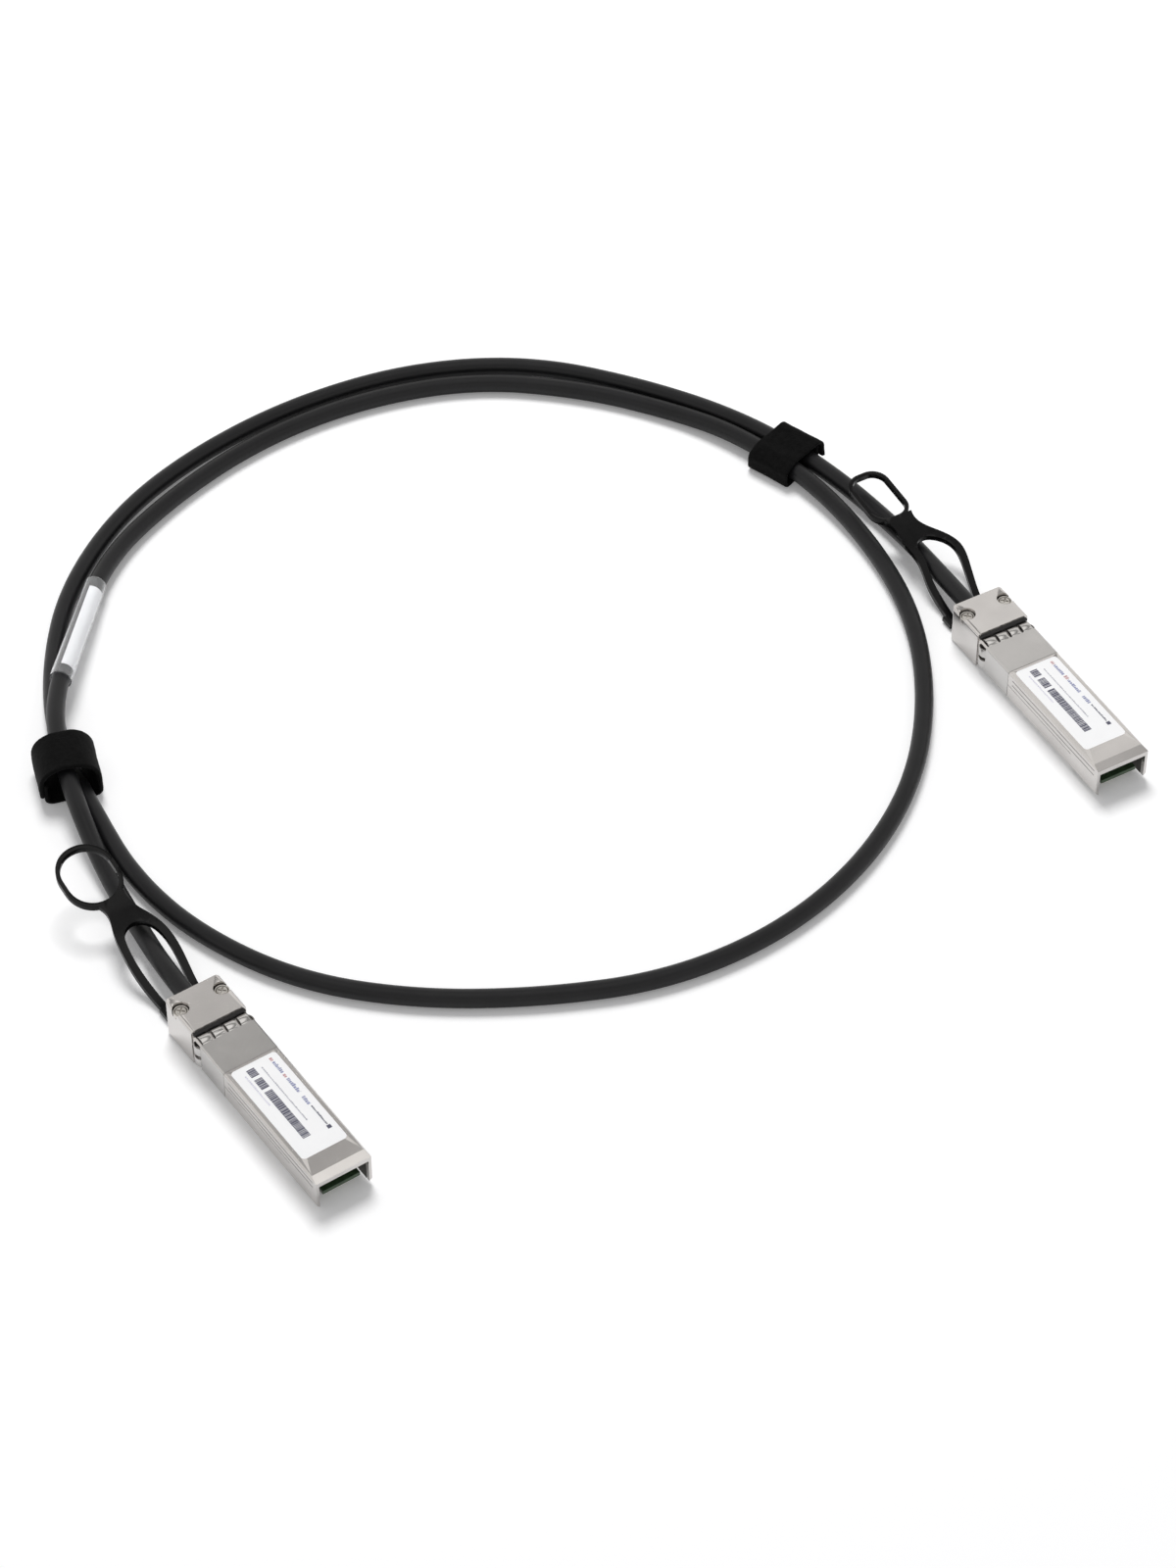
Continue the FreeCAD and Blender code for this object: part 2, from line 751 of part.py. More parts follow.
def tab_ribbon(end):
    """The tab seen from the side: low at the arms, over the cable, and up to the ring."""
    stops = tab_foot + tab_rise[end]
    half = tab_thickness / 2
    upper = smooth([(x, -body_width, z + half) for x, z in stops])
    lower = smooth([(x, -body_width, z - half) for x, z in stops])
    ends = [Part.makeLine(lower.Vertexes[k].Point, upper.Vertexes[k].Point) for k in (0, -1)]
    face = Part.Face(Part.Wire(Part.__sortEdges__([upper, lower] + ends)))
    return face.extrude(Vector(0, 2 * body_width, 0))


def make_pull_tab(end):
    """Legs off the slider's arms, a web over the cable and a finger ring."""
    tab = tab_plan(end).common(tab_ribbon(end))
    half = arm_width / 2
    cuff = block(tab_start, arm_end + cuff_wall, arm_offset - half - cuff_wall,
                 arm_offset + half + cuff_wall, slider_low - cuff_wall,
                 slider_high + cuff_wall)
    arm = block(tab_start - 1, arm_end, arm_offset - half, arm_offset + half, slider_low,
                slider_high)
    return cut(join([tab] + mirrored(cuff)), mirrored(arm))


# ---------------------------------------------------------------- cable and what is on it
def unit(heading):
    angle = math.radians(heading)
    return Vector(math.cos(angle), math.sin(angle), 0)


def cable_points():
    """Every corner of the route, from inside one plug to inside the other."""
    tail = plug_length - ferrule_start
    start = Vector(exit_a[0], exit_a[1], exit_height)
    finish = Vector(exit_b[0], exit_b[1], exit_height)
    way_a, way_b = unit(heading_a), unit(heading_b)
    points = [start - way_a * tail, start + way_a * exit_run]
    points += [Vector(*p) for p in route]
    points += [finish + way_b * exit_run, finish - way_b * tail]
    return points


def corner(points, i):
    """Tangent points, middle and radius of the arc that rounds one corner."""
    here = points[i]
    back = points[i - 1] - here
    ahead = points[i + 1] - here
    reach = 0.45 * min(back.Length, ahead.Length)
    turn = math.pi - back.getAngle(ahead)
    radius = reach / math.tan(turn / 2)
    a = here + back.normalize() * reach
    b = here + ahead.normalize() * reach
    bisector = ((a + b) * 0.5 - here).normalize()
    middle = here + bisector * (radius / math.cos(turn / 2) - radius)
    return a, middle, b, radius


def rounded_path(points):
    edges = []
    radii = []
    last = points[0]
    for i in range(1, len(points) - 1):
        a, middle, b, radius = corner(points, i)
        edges.append(Part.makeLine(last, a))
        edges.append(Part.Arc(a, middle, b).toShape())
        radii.append(radius)
        last = b
    edges.append(Part.makeLine(last, points[-1]))
    return Part.Wire(edges), radii


def sweep(path, radius, start, direction):
    ring = Part.Wire(Part.makeCircle(radius, start, direction))
    return path.makePipeShell([ring], True, False)


def make_cable():
    points = cable_points()
    path, radii = rounded_path(points)
    tube = sweep(path, cable_radius, points[0], points[1] - points[0])
    ratio = tube.Volume / (math.pi * cable_radius ** 2 * path.Length)
    print("cable length", round(path.Length, 1), "volume ratio", round(ratio, 4))
    print("bend radii", [round(r) for r in radii], "least", round(min(radii), 1))
    return tube


def straight_run(points, first):
    """The two ends of the straight bit that starts after one corner."""
    _, _, start, _ = corner(points, first)
    finish, _, _, _ = corner(points, first + 1)
    return start, finish


def sleeve(inner_radius, outer_radius, length):
    """A tube over the cable, in the middle of the marker's straight run."""
    start, finish = straight_run(cable_points(), route.index(marker_start) + exit_points)
    along = (finish - start).normalize()
    foot = (start + finish) * 0.5 + along * (marker_shift - length / 2)
    outer = Part.makeCylinder(outer_radius, length, foot, along)
    return outer.cut(Part.makeCylinder(inner_radius, length, foot, along))


def make_marker_sleeve():
    inner = cable_radius + marker_film + marker_clear
    return sleeve(inner, inner + marker_wall, marker_length)


def make_marker_label():
    """A film round the cable's upper right side, short of going all the way round."""
    film = sleeve(cable_radius, cable_radius + marker_film, marker_label_length)
    start, finish = straight_run(cable_points(), route.index(marker_start) + exit_points)
    along = (finish - start).normalize()
    side = along.cross(Vector(0, 0, 1)).normalize()
    rise = side.cross(along)
    reach = 2 * cable_diameter
    foot = start - side * (marker_overlap * cable_radius)
    corners = [foot - rise * reach, foot + side * reach - rise * reach,
               foot + side * reach + rise * reach, foot + rise * reach]
    return film.common(prism(corners, along * (finish - start).Length))


def tie_frame(first, second):
    """Middle of two strands' runs in plan, the angle they run at and their distance."""
    points = cable_points()
    places = [route.index(name) + exit_points for name in (first, second)]
    runs = [(points[k], points[k + 1]) for k in places]
    middles = [(a + b) * 0.5 for a, b in runs]
    way = (runs[0][1] - runs[0][0]).normalize()
    other = (runs[1][1] - runs[1][0]).normalize()
    way = way + other if way.dot(other) > 0 else way - other
    across = Vector(-way.y, way.x, 0).normalize()
    apart = abs((middles[1] - middles[0]).dot(across))
    middle = (middles[0] + middles[1]) * 0.5
    return middle, math.degrees(math.atan2(way.y, way.x)), apart


def strap(corners, radii, wall):
    """A band wound along x round the given corners (y, z), each rounded."""
    bar = prism([(-tie_length / 2, y, z) for y, z in corners], (tie_length, 0, 0))
    for (y, z), radius in zip(corners, radii):
        bar = rounded(bar, radius, lambda e: along_x(e) and passes(e, y, z))
    end = next(f for f in bar.Faces if f.BoundBox.XMax < -tie_length / 2 + 1e-6)
    return bar.cut(end.makeOffset2D(-wall).extrude(Vector(tie_length, 0, 0)))


def passes(edge, y, z):
    at = edge.Vertexes[0].Point
    return abs(at.y - y) < 1e-6 and abs(at.z - z) < 1e-6


def along_x(edge):
    a, b = edge.Vertexes[0].Point, edge.Vertexes[-1].Point
    return abs(a.y - b.y) < 1e-6 and abs(a.z - b.z) < 1e-6


def settle(shape, middle, angle):
    shape.rotate(Vector(0, 0, 0), Vector(0, 0, 1), angle)
    shape.translate(Vector(middle.x, middle.y, 0))
    return shape


def make_tie_a():
    """The tall wrap: one strand lies over the other."""
    top = tie_a_high + cable_radius + tie_clear + tie_a_band
    half = tie_a_width / 2
    band = strap([(-half, 0), (-half, top), (half, top), (half, 0)],
                 [tie_a_corner, tie_a_arch, tie_a_arch, tie_a_corner], tie_a_band)
    middle, angle, _ = tie_frame(tie_a_upper, tie_a_lower)
    return settle(band, middle + Vector(*tie_a_shift, 0), angle + tie_a_turn)


def make_tie_b():
    """The low wrap: the strands lie side by side under a roof that slopes inward."""
    middle, angle, apart = tie_frame(tie_b_inner, tie_b_outer)
    reach = apart / 2 + cable_radius + tie_b_band
    inner, outer = -reach - tie_b_slack[0], reach + tie_b_slack[1]
    top = tie_b_low + cable_radius + tie_clear + tie_b_band
    corners = [(inner, 0), (inner, tie_b_crease), (inner + tie_b_slope, top), (outer, top),
               (outer, 0)]
    band = strap(corners, [tie_b_corner] * len(corners), tie_b_band)
    return settle(band, middle + unit(angle) * tie_b_shift, angle + tie_b_turn)


# ---------------------------------------------------------------- assembly
def place(shape, at, heading):
    """Lay a piece from the plug's frame: its rear face goes to the exit."""
    shape.translate(Vector(-plug_length, 0, 0))
    shape.rotate(Vector(0, 0, 0), Vector(0, 0, 1), heading)
    shape.translate(Vector(at[0], at[1], 0))
    return shape


def save(name, shape):
    shape.exportStep("parts/" + name + ".step")


plug_pieces = [
    ("shell_bottom", make_shell_bottom),
    ("shell_top", make_shell_top),
    ("ground_collar", make_collar),
    ("paddle_card", make_paddle_card),
    ("contact_pads", make_contacts),
    ("board_parts", make_board_parts),
    ("signal_pairs", make_signal_pairs),
    ("crimp_ferrule", make_ferrule),
    ("clamp_screws", make_screws),
    ("release_slider", make_slider),
    ("return_spring", make_spring),
    ("plug_label", make_label),
]

os.makedirs("parts", exist_ok=True)
for end, at, heading in (("a", exit_a, heading_a), ("b", exit_b, heading_b)):
    for name, make in plug_pieces:
        save(name + "_" + end, place(make(), at, heading))
    save("pull_tab_" + end, place(make_pull_tab(end), at, heading))
save("cable", make_cable())
save("tie_a", make_tie_a())
save("tie_b", make_tie_b())
save("marker_sleeve", make_marker_sleeve())
save("marker_label", make_marker_label())
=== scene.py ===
import json
import math
import random

import bmesh
import bpy
from mathutils import Matrix, Vector, noise


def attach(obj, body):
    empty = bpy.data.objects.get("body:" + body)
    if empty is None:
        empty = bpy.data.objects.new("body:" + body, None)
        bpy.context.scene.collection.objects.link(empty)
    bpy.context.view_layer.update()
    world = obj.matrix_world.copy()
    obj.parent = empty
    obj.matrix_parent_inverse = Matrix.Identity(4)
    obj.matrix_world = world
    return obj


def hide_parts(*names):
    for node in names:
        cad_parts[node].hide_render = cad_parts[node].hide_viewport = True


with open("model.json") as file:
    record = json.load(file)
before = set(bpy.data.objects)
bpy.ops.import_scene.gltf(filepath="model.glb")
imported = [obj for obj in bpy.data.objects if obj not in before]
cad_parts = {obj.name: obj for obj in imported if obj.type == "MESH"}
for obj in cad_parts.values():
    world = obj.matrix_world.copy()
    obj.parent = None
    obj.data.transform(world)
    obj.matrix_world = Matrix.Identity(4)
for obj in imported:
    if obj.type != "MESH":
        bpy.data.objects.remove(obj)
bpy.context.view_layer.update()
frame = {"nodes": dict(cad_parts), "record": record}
nodes = frame["nodes"]
mounts = {mount["name"]: mount for mount in frame["record"]["mounts"]}

# ---------------------------------------------------------------- sizes, in metres
MM = 0.001
UP = Vector((0, 0, 1))

# the view
CAMERA_PLACE = (-0.0048, -0.7338, 0.7718)
CAMERA_TILT = math.radians(44.13)
CAMERA_LENS = 109.4
CAMERA_SENSOR = 36
CAMERA_CLIP = (0.05, 20)

# the plugs, each in its own frame: u back from the mating end, v to the side, z up
PLUG_LENGTH = 60 * MM
EXIT_HEIGHT = 5.2 * MM
HEAD_FRONT = 49 * MM
BODY_TOP = 8.95 * MM
LABEL_FRONT = 6.8 * MM
LABEL_LENGTH = 28.8 * MM
LABEL_WIDTH = 11.2 * MM
LABEL_TOP = 8.9 * MM
INK_HEIGHT = 0.03 * MM

# the cable's route from plug a to plug b
CABLE_RADIUS = 2.15 * MM
CABLE_RUN_IN = 6.7 * MM        # how far each end goes on inside its plug
CABLE_RUN_OUT = 10 * MM        # and straight out of it
ON_FLOOR = CABLE_RADIUS
TIE_A_LOW = 3.4 * MM
TIE_A_HIGH = 7.85 * MM
TIE_B_LOW = 3.3 * MM
MARKER_HEIGHT = 2.77 * MM
# each strand's run through a tie goes on from one of these points
TIE_A_UPPER = (-0.1203, 0.0059, TIE_A_HIGH - 0.3 * MM)
TIE_A_LOWER = (-0.1150, 0.0025, TIE_A_LOW)
TIE_B_INNER = (0.0310, 0.1300, TIE_B_LOW)
TIE_B_OUTER = (0.0332, 0.1345, TIE_B_LOW)
ROUTE = [
    (-0.1038, -0.0295, ON_FLOOR),
    (-0.1120, -0.0137, ON_FLOOR + 0.6 * MM),
    TIE_A_UPPER,
    (-0.1269, 0.0310, TIE_A_HIGH + 0.2 * MM),
    (-0.12285, 0.05815, (TIE_A_HIGH + MARKER_HEIGHT) / 2),
    (-0.1188, 0.0853, MARKER_HEIGHT),
    (-0.1046, 0.1081, ON_FLOOR),
    (-0.0843, 0.1291, ON_FLOOR),
    (-0.0598, 0.1437, ON_FLOOR),
    (-0.0323, 0.1508, ON_FLOOR),
    (-0.0053, 0.1471, ON_FLOOR),
    (0.0157, 0.1393, ON_FLOOR),
    TIE_B_INNER,
    (0.0485, 0.1136, TIE_B_LOW),
    (0.0627, 0.0915, ON_FLOOR),
    (0.0714, 0.0665, ON_FLOOR),
    (0.0729, 0.0395, ON_FLOOR),
    (0.0684, 0.0127, ON_FLOOR),
    (0.0562, -0.0120, ON_FLOOR),
    (0.0372, -0.0325, ON_FLOOR),
    (0.0127, -0.0463, ON_FLOOR),
    (-0.0143, -0.0513, ON_FLOOR),
    (-0.0418, -0.0519, ON_FLOOR),
    (-0.0678, -0.0465, ON_FLOOR),
    (-0.0906, -0.0324, ON_FLOOR),
    (-0.1056, -0.0155, ON_FLOOR),
    TIE_A_LOWER,
    (-0.1258, 0.0265, TIE_A_LOW),
    (-0.1288, 0.0520, ON_FLOOR),
    (-0.1265, 0.0771, ON_FLOOR),
    (-0.1161, 0.1029, ON_FLOOR),
    (-0.0988, 0.1240, ON_FLOOR),
    (-0.0758, 0.1420, ON_FLOOR),
    (-0.0483, 0.1543, ON_FLOOR),
    (-0.0193, 0.1570, ON_FLOOR),
    (0.0087, 0.1483, ON_FLOOR),
    TIE_B_OUTER,
    (0.0527, 0.1168, TIE_B_LOW),
    (0.0692, 0.0965, ON_FLOOR),
]


# ---------------------------------------------------------------- helpers
def plug_frame(end):
    """The matrix of a plug's own frame, on the floor under its mating end."""
    mount = mounts["plug_" + end]
    back = -Vector(mount["axis"]).normalized()
    side = UP.cross(back)
    place = Vector(mount["pos_m"])
    place.z = 0
    turn = Matrix((back, side, UP)).transposed().to_4x4()
    return Matrix.Translation(place) @ turn


def add_object(name, data):
    piece = bpy.data.objects.new(name, data)
    bpy.context.scene.collection.objects.link(piece)
    return piece


def mesh_piece(name, form, finishes, smooth=False):
    """A new piece from a bmesh, which is used up."""
    mesh = bpy.data.meshes.new(name)
    bmesh.ops.recalc_face_normals(form, faces=form.faces)
    form.to_mesh(mesh)
    form.free()
    for finish in finishes:
        mesh.materials.append(finish)
    mesh.shade_smooth() if smooth else mesh.shade_flat()
    return add_object(name, mesh)


def plug_piece(name, form, finishes, end):
    """A piece of one plug, from a bmesh in the plug's own frame."""
    form.transform(plug_frame(end))
    piece = mesh_piece(name + "_" + end, form, [paints[finish] for finish in finishes])
    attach(piece, "cable_assembly")


def add_box(form, middle, size):
    place = Matrix.Translation(middle) @ Matrix.Diagonal((*size, 1))
    return bmesh.ops.create_cube(form, size=1, matrix=place)["verts"]


def join_loops(form, first, second):
    """A band of faces between two closed loops of vertices."""
    count = len(first)
    for k in range(count):
        after = (k + 1) % count
        form.faces.new((first[k], first[after], second[after], second[k]))


def add_node(tree, kind, **settings):
    node = tree.nodes.new(kind)
    for key, value in settings.items():
        setattr(node, key, value)
    return node


def greatest(tree, *values):
    """The greatest of some shader values."""
    result = values[0]
    for value in values[1:]:
        node = add_node(tree, "ShaderNodeMath", operation="MAXIMUM")
        tree.links.new(result, node.inputs[0])
        tree.links.new(value, node.inputs[1])
        result = node.outputs[0]
    return result


# ---------------------------------------------------------------- camera
def make_camera():
    data = bpy.data.cameras.new("camera")
    data.lens = CAMERA_LENS
    data.sensor_width = CAMERA_SENSOR
    data.clip_start, data.clip_end = CAMERA_CLIP
    camera = add_object("camera", data)
    camera.location = CAMERA_PLACE
    camera.rotation_euler = (CAMERA_TILT, 0, 0)
    bpy.context.scene.camera = camera


make_camera()


# ---------------------------------------------------------------- materials
NOISE_LOW, NOISE_HIGH = 0.3, 0.7       # the part of the noise's range that is used


class Paint:
    """A Principled material that is built up a step at a time."""

    def __init__(self, name, colour, roughness, **settings):
        self.name = name
        self.colour = colour
        self.material = bpy.data.materials.new(name)
        self.material.use_nodes = True
        self.tree = self.material.node_tree
        self.shader = self.tree.nodes["Principled BSDF"]
        self.set("Base Color", (*colour, 1))
        self.set("Roughness", roughness)
        for socket, value in settings.items():
            self.set(socket.replace("_", " "), value)
        self.place = self.add("ShaderNodeTexCoord").outputs["Object"]

    def set(self, socket, value):
        self.shader.inputs[socket].default_value = value

    def add(self, kind, **settings):
        return add_node(self.tree, kind, **settings)

    def link(self, start, finish):
        self.tree.links.new(start, finish)

    def noise(self, scale, detail=3.0, stretch=None):
        """Noise that is fixed to the object; scale is in lumps to the metre."""
        node = self.add("ShaderNodeTexNoise")
        node.inputs["Scale"].default_value = scale
        node.inputs["Detail"].default_value = detail
        place = self.place
        if stretch:
            mapping = self.add("ShaderNodeMapping")
            mapping.inputs["Scale"].default_value = stretch
            self.link(place, mapping.inputs["Vector"])
            place = mapping.outputs["Vector"]
        self.link(place, node.inputs["Vector"])
        return node.outputs["Fac"]

    def spread(self, value, low, high):
        """Turns noise into a number between low and high."""
        node = self.add("ShaderNodeMapRange")
        node.inputs["From Min"].default_value = NOISE_LOW
        node.inputs["From Max"].default_value = NOISE_HIGH
        node.inputs["To Min"].default_value = low
        node.inputs["To Max"].default_value = high
        self.link(value, node.inputs["Value"])
        return node.outputs["Result"]

    def mottle(self, scale, change):
        """The colour goes lighter and darker by that share."""
        mix = self.add("ShaderNodeMix", data_type="RGBA")
        dark = [max(0.0, c * (1 - change)) for c in self.colour]
        light = [min(1.0, c * (1 + change)) for c in self.colour]
        mix.inputs["A"].default_value = (*dark, 1)
        mix.inputs["B"].default_value = (*light, 1)
        self.link(self.spread(self.noise(scale), 0, 1), mix.inputs["Factor"])
        self.link(mix.outputs["Result"], self.shader.inputs["Base Color"])
        return self

    def wear(self, scale, low, high):
        """The roughness varies between low and high."""
        self.link(self.spread(self.noise(scale), low, high), self.shader.inputs["Roughness"])
        return self

    def grain(self, scale, height, detail=2.0, stretch=None):
        """A fine relief, height metres deep."""
        bump = self.add("ShaderNodeBump")
        bump.inputs["Distance"].default_value = height
        bump.inputs["Strength"].default_value = 1
        self.link(self.noise(scale, detail, stretch), bump.inputs["Height"])
        self.link(bump.outputs["Normal"], self.shader.inputs["Normal"])
        return self


def make_paints():
    """A finish for each material slot of the record, by the slot's name, and then those of
    the trim, the painted shade and the print."""
    finishes = [
        Paint("diecast", (0.60, 0.58, 0.565), 0.18, Metallic=0.92)
        .mottle(90, 0.05).wear(160, 0.15, 0.2).grain(2600, 0.003 * MM),
        Paint("spring_steel", (0.52, 0.51, 0.50), 0.2, Metallic=1.0)
        .mottle(140, 0.05).grain(700, 0.006 * MM, stretch=(6, 1, 1)),
        Paint("circuit_board", (0.045, 0.085, 0.04), 0.32, Coat_Weight=0.2)
        .mottle(600, 0.2).grain(1500, 0.01 * MM),
        Paint("gold_contact", (0.85, 0.63, 0.27), 0.24, Metallic=1.0).mottle(400, 0.06),
        Paint("chip_black", (0.02, 0.02, 0.021), 0.5).mottle(900, 0.2).grain(5000, 0.01 * MM),
        Paint("foil", (0.72, 0.72, 0.73), 0.3, Metallic=1.0)
        .mottle(500, 0.08).grain(900, 0.05 * MM),
        Paint("ferrule_metal", (0.55, 0.52, 0.47), 0.33, Metallic=1.0)
        .mottle(300, 0.06).grain(1800, 0.01 * MM),
        Paint("screw_steel", (0.56, 0.54, 0.51), 0.3, Metallic=1.0)
        .mottle(600, 0.1).grain(2500, 0.01 * MM),
        Paint("slider_steel", (0.66, 0.65, 0.63), 0.28, Metallic=1.0)
        .mottle(200, 0.05).grain(900, 0.006 * MM, stretch=(8, 1, 1)),
        Paint("spring_wire", (0.5, 0.5, 0.5), 0.3, Metallic=1.0).mottle(700, 0.08),
        Paint("tab_black", (0.003, 0.003, 0.0032), 0.2, Specular_IOR_Level=0.18)
        .mottle(220, 0.15).wear(300, 0.17, 0.25).grain(1700, 0.012 * MM),
        Paint("label_paper", (0.95, 0.95, 0.953), 0.42)
        .mottle(300, 0.01).grain(1200, 0.004 * MM),
        Paint("cable_jacket", (0.009, 0.009, 0.0098), 0.4, Specular_IOR_Level=0.25)
        .mottle(120, 0.15).wear(200, 0.36, 0.46).grain(2200, 0.014 * MM),
        Paint("tie_black", (0.004, 0.004, 0.004), 0.9, Specular_IOR_Level=0.08,
              Sheen_Weight=0.03)
        .mottle(900, 0.35).grain(2600, 0.14 * MM, detail=6),
        Paint("clear_sleeve", (0.97, 0.975, 0.985), 0.07, Transmission_Weight=0.95, IOR=1.38)
        .grain(160, 0.015 * MM),
        Paint("marker_paper", (0.93, 0.93, 0.935), 0.45)
        .mottle(250, 0.015).grain(1200, 0.004 * MM),
        # painted shade, laid as a dark film inside each open nose
        Paint("painted_shade_film", (0.055, 0.052, 0.046), 0.5).mottle(700, 0.15),
        Paint("groove_shadow", (0.22, 0.21, 0.20), 0.5, Metallic=0.5).mottle(700, 0.1),
        Paint("ink", (0.09, 0.09, 0.13), 0.5).mottle(2500, 0.25),
        Paint("blue_ink", (0.29, 0.31, 0.47), 0.5).mottle(2500, 0.2),
        Paint("red_ink", (0.55, 0.32, 0.33), 0.5).mottle(2500, 0.2),
        Paint("grey_ink", (0.42, 0.42, 0.47), 0.5).mottle(2500, 0.2),
        Paint("pale_ink", (0.68, 0.67, 0.76), 0.5).mottle(2500, 0.1),
    ]
    return {paint.name: paint.material for paint in finishes}


paints = make_paints()

# how far a node's sharp edges are rounded, by the node's name without its plug
EDGE_ROUND = {
    "shell_bottom": 0.16 * MM,
    "shell_top": 0.16 * MM,
    "release_slider": 0.06 * MM,
    "pull_tab": 0.22 * MM,
    "clamp_screws": 0.08 * MM,
    "crimp_ferrule": 0.08 * MM,
    "ground_collar": 0.05 * MM,
}
EDGE_STEPS = 2
WELD_GAP = 0.002 * MM
SHARP_ANGLE = math.radians(40)
ROOF_ANGLE = math.radians(11)       # the upper shell keeps the shallow crest on its nose


def finish_nodes():
    """Every CAD node gets its slot's finish, and the kinds listed in EDGE_ROUND get soft edges
    where they have sharp ones.
    """
    for name, node in nodes.items():
        for place in node.material_slots:
            place.material = paints[place.material.name.split(".")[0]]
        kind = name.rsplit("_", 1)[0]
        if kind not in EDGE_ROUND:
            continue
        weld = node.modifiers.new("weld", "WELD")
        weld.merge_threshold = WELD_GAP
        bevel = node.modifiers.new("edges", "BEVEL")
        bevel.width = EDGE_ROUND[kind]
        bevel.segments = EDGE_STEPS
        bevel.limit_method = "ANGLE"
        bevel.angle_limit = ROOF_ANGLE if kind == "shell_top" else SHARP_ANGLE
        bevel.miter_outer = "MITER_ARC"
        bevel.face_strength_mode = "FSTR_ALL"
        shading = node.modifiers.new("shading", "WEIGHTED_NORMAL")
        shading.use_face_influence = True


finish_nodes()


# ---------------------------------------------------------------- the cable
CURVE_STEPS = 24                    # along each piece of the route
CURVE_BEVEL = 6                     # how finely the cable's section is rounded
CURVE_ORDER = 3


def exit_point(end, u):
    """A point on the cable's line through a plug."""
    return plug_frame(end) @ Vector((u, 0, EXIT_HEIGHT))


def cable_points():
    """The route between the plugs, with the straight run out of each."""
    start = [PLUG_LENGTH - CABLE_RUN_IN, PLUG_LENGTH + CABLE_RUN_OUT]
    points = [exit_point("a", u) for u in start]
    points += [Vector(point) for point in ROUTE]
    points += [exit_point("b", u) for u in reversed(start)]
    return points


def make_cable():
    curve = bpy.data.curves.new("dac_cable", "CURVE")
    curve.dimensions = "3D"
    curve.resolution_u = CURVE_STEPS
    curve.bevel_depth = CABLE_RADIUS
    curve.bevel_resolution = CURVE_BEVEL
    curve.use_fill_caps = True
    spline = curve.splines.new("NURBS")
    points = cable_points()
    spline.points.add(len(points) - 1)
    for knot, point in zip(spline.points, points):
        knot.co = (*point, 1)
    spline.order_u = CURVE_ORDER
    spline.use_endpoint_u = True
    curve.materials.append(paints["cable_jacket"])
    made = add_object("dac_cable", curve)
    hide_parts("cable")
    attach(made, "cable_assembly")
    return made


cable = make_cable()


# ---------------------------------------------------------------- wrap ties
STRAP_WIDTH = 11.8 * MM
STRAP_THICK = 0.85 * MM
STRAP_EDGE = 0.3 * MM               # radius of the strap's long edges
STRAP_STEP = 0.3 * MM               # from one cross section to the next
STRAP_SUNK = 0.55 * MM              # the strap's middle, in from the tie's outside
FACE_STEPS = 27                     # across each face of the strap
ROUND_STEPS = 4                     # round each long edge
CORNER_STEPS = 12                   # round each corner of a tie
CLIMB_STEPS = 26                    # over which the lap rises off the first turn
LAP_GAP = 0.06 * MM

# the tape's unevenness: how long and wide its lumps are, and how high
FUZZ_SIZE, FUZZ_HEIGHT = 0.34 * MM, 0.05 * MM
SWAY_ALONG, SWAY_ACROSS, SWAY_HEIGHT = 3 * MM, 4 * MM, 0.12 * MM
FRAY_ALONG, FRAY_HEIGHT = 1.3 * MM, 0.13 * MM
SWAY_SEED, FRAY_SEED = 7.3, 2.1

# tie a: half its width and its height, both outside, and how it is wound and placed
TIE_A_HALF = 6.8 * MM
TIE_A_TOP = 11.25 * MM
TIE_A_RADII = [1.5 * MM, 5.3 * MM, 5.3 * MM, 1.5 * MM]
TIE_A_START = 23.5 * MM
TIE_A_LAP = 3.9 * MM
TIE_A_SHIFT = (0.4 * MM, -1.2 * MM)
TIE_A_TURN = math.radians(-5)

# tie b: how far it stands off its strands, its height and the slope on its inner side
TIE_B_SPARE = 1 * MM
TIE_B_SPARE_INNER = 1.7 * MM        # and more than that on the inner side
TIE_B_SPARE_OUTER = 0.4 * MM
TIE_B_TOP = 6.6 * MM
TIE_B_SHOULDER = 4.9 * MM
TIE_B_SLOPE = 3.2 * MM
TIE_B_RADII = [1 * MM, 0.8 * MM, 5 * MM, 1 * MM, 1 * MM]
TIE_B_START = 17 * MM
TIE_B_LAP = 3.6 * MM
TIE_B_SKEW = 1.3 * MM
TIE_B_ALONG = 1.7 * MM
TIE_B_TURN = math.radians(4)


def rounded_path(corners, radii):
    """Points round a polygon of (y, z) corners, each rounded by an arc."""
    path = []
    for i, radius in enumerate(radii):
        here = Vector(corners[i])
        back = (Vector(corners[i - 1]) - here).normalized()
        ahead = (Vector(corners[(i + 1) % len(corners)]) - here).normalized()
        half = back.angle(ahead) / 2
        reach = radius / math.tan(half)
        middle = here + (back + ahead).normalized() * radius / math.sin(half)
        start, end = here + back * reach - middle, here + ahead * reach - middle
        sweep = start.angle_signed(end)
        for k in range(CORNER_STEPS + 1):
            path.append(middle + Matrix.Rotation(-sweep * k / CORNER_STEPS, 2) @ start)
    return path


def even_loop(path):
    """Points about a step apart along a closed path."""
    runs = [(start, path[(i + 1) % len(path)] - start) for i, start in enumerate(path)]
    total = sum(run.length for _, run in runs)
    count = round(total / STRAP_STEP)
    loop, walked = [], 0.0
    for start, run in runs:
        while len(loop) < count and len(loop) * total / count <= walked + run.length:
            loop.append(start + run.normalized() * (len(loop) * total / count - walked))
        walked += run.length
    return loop


